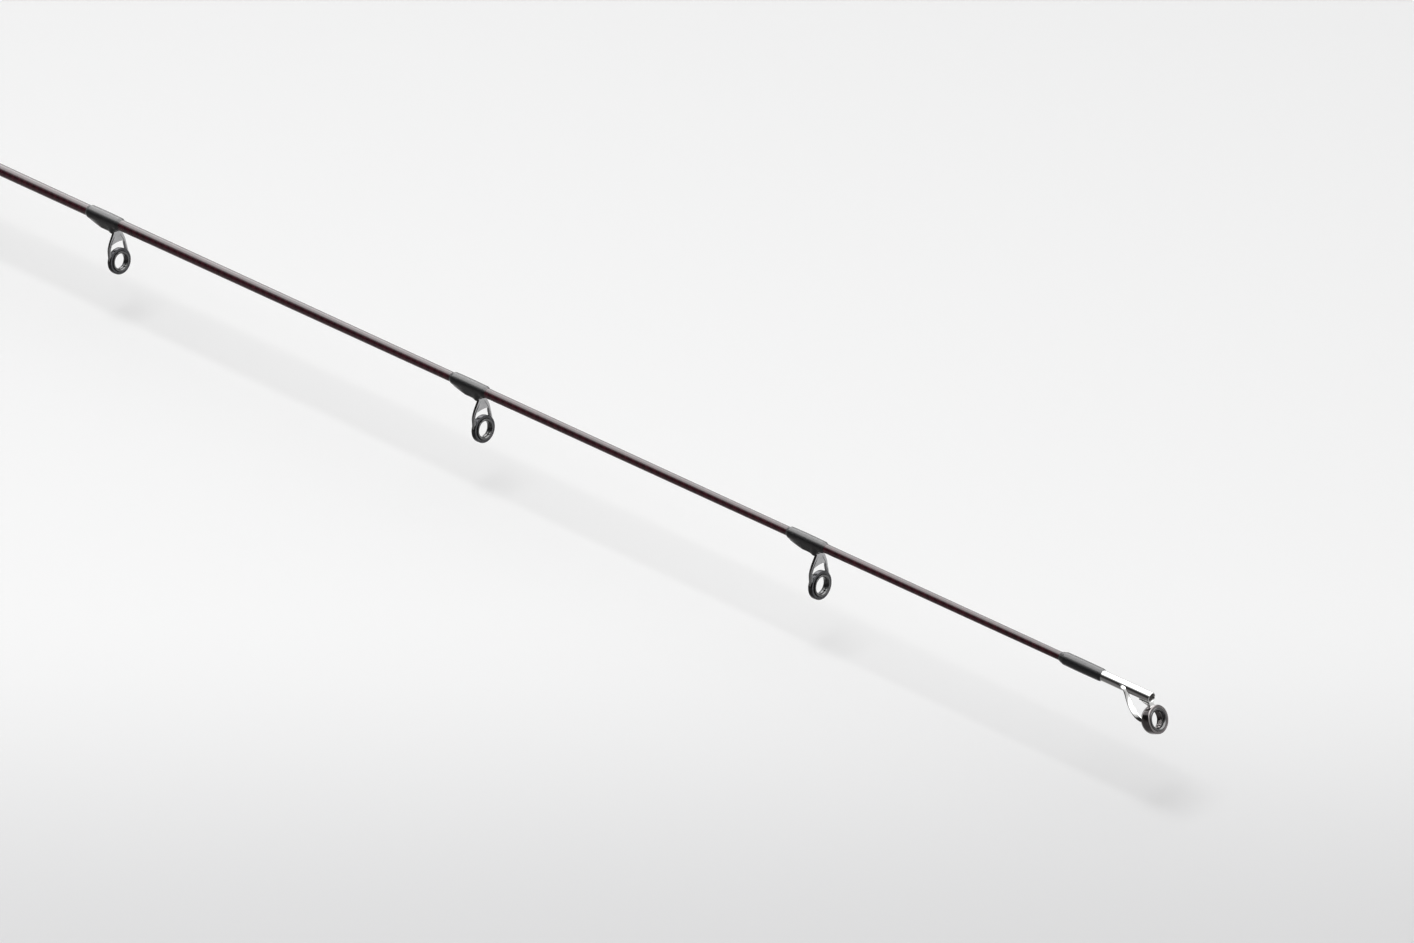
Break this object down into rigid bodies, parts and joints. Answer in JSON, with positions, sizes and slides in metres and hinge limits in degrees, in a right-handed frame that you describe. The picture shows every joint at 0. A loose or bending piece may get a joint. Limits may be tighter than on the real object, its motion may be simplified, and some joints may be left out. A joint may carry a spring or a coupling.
{
  "type": "drop shot fishing rod",
  "caption": "Slim two-section spinning rod with ringed line guides, a chromed tip-top, a screw-down reel seat, foam grips and a hook keeper.",
  "frame": {"origin": "centre of the butt cap's end face", "axes": "+X along the rod from butt to tip, guides and reel seat face -Z"},
  "size_m": [2.1, 0.0268, 0.0433],
  "materials": {
    "blank": "dark burgundy lacquer over carbon, high gloss",
    "thread_wrap": "black thread under clear epoxy, high gloss",
    "guide_metal": "gunmetal black plating, bright",
    "tip_chrome": "bright chrome",
    "ring_ceramic": "polished dark grey ceramic",
    "anodised_trim": "burgundy anodised",
    "foam_grip": "fine closed-cell foam, matt",
    "cap_rubber": "moulded rubber, matt",
    "seat_moulding": "glass-filled nylon, satin",
    "hood_steel": "black-plated steel, satin",
    "keeper_wire": "black-plated steel wire",
    "hood_liner": "soft plastic, matt",
    "arbor": "fibre packing, matt"
  },
  "bodies": {
    "butt_section": {"butt_blank": "blank", "butt_cap": "cap_rubber", "butt_trim_ring": "anodised_trim", "butt_grip": "foam_grip", "butt_grip_check": "anodised_trim", "rear_grip_check": "anodised_trim", "rear_grip": "foam_grip", "reel_seat_body": "seat_moulding", "seat_arbor_rear": "arbor", "seat_arbor_front": "arbor", "fore_grip": "foam_grip", "fore_grip_check": "anodised_trim", "hook_keeper": "keeper_wire", "hook_keeper_rear_wrap": "thread_wrap", "hook_keeper_front_wrap": "thread_wrap", "stripper_frame": "guide_metal", "stripper_ring": "ring_ceramic", "stripper_rear_wrap": "thread_wrap", "stripper_front_wrap": "thread_wrap"},
    "hood": {"sliding_hood": "hood_steel", "hood_liner": "hood_liner"},
    "nut": {"lock_nut": "seat_moulding"},
    "tip_section": {"tip_blank": "blank", "ferrule_sleeve": "blank", "ferrule_wrap": "thread_wrap", "guide_7_frame": "guide_metal", "guide_7_ring": "ring_ceramic", "guide_7_wrap": "thread_wrap", "guide_6_frame": "guide_metal", "guide_6_ring": "ring_ceramic", "guide_6_wrap": "thread_wrap", "guide_5_frame": "guide_metal", "guide_5_ring": "ring_ceramic", "guide_5_wrap": "thread_wrap", "guide_4_frame": "guide_metal", "guide_4_ring": "ring_ceramic", "guide_4_wrap": "thread_wrap", "guide_3_frame": "guide_metal", "guide_3_ring": "ring_ceramic", "guide_3_wrap": "thread_wrap", "guide_2_frame": "guide_metal", "guide_2_ring": "ring_ceramic", "guide_2_wrap": "thread_wrap", "guide_1_frame": "guide_metal", "guide_1_ring": "ring_ceramic", "guide_1_wrap": "thread_wrap", "tip_top_frame": "tip_chrome", "tip_top_ring": "ring_ceramic", "tip_top_wrap": "thread_wrap"}
  },
  "joints": [
    {"name": "ferrule_slide", "type": "slide", "parent": "butt_section", "child": "tip_section", "axis": [1, 0, 0], "range_m": [0, 0.06]},
    {"name": "hood_slide", "type": "slide", "parent": "butt_section", "child": "hood", "axis": [1, 0, 0], "range_m": [0, 0.014]},
    {"name": "nut_spin", "type": "hinge", "parent": "hood", "child": "nut", "pos_m": [0.29, 0, 0], "axis": [1, 0, 0], "range_deg": [0, 2520]}
  ],
  "couplings": [
    {"joint": "nut_spin", "follows": "hood_slide", "rad_per_m": 3141.5}
  ]
}
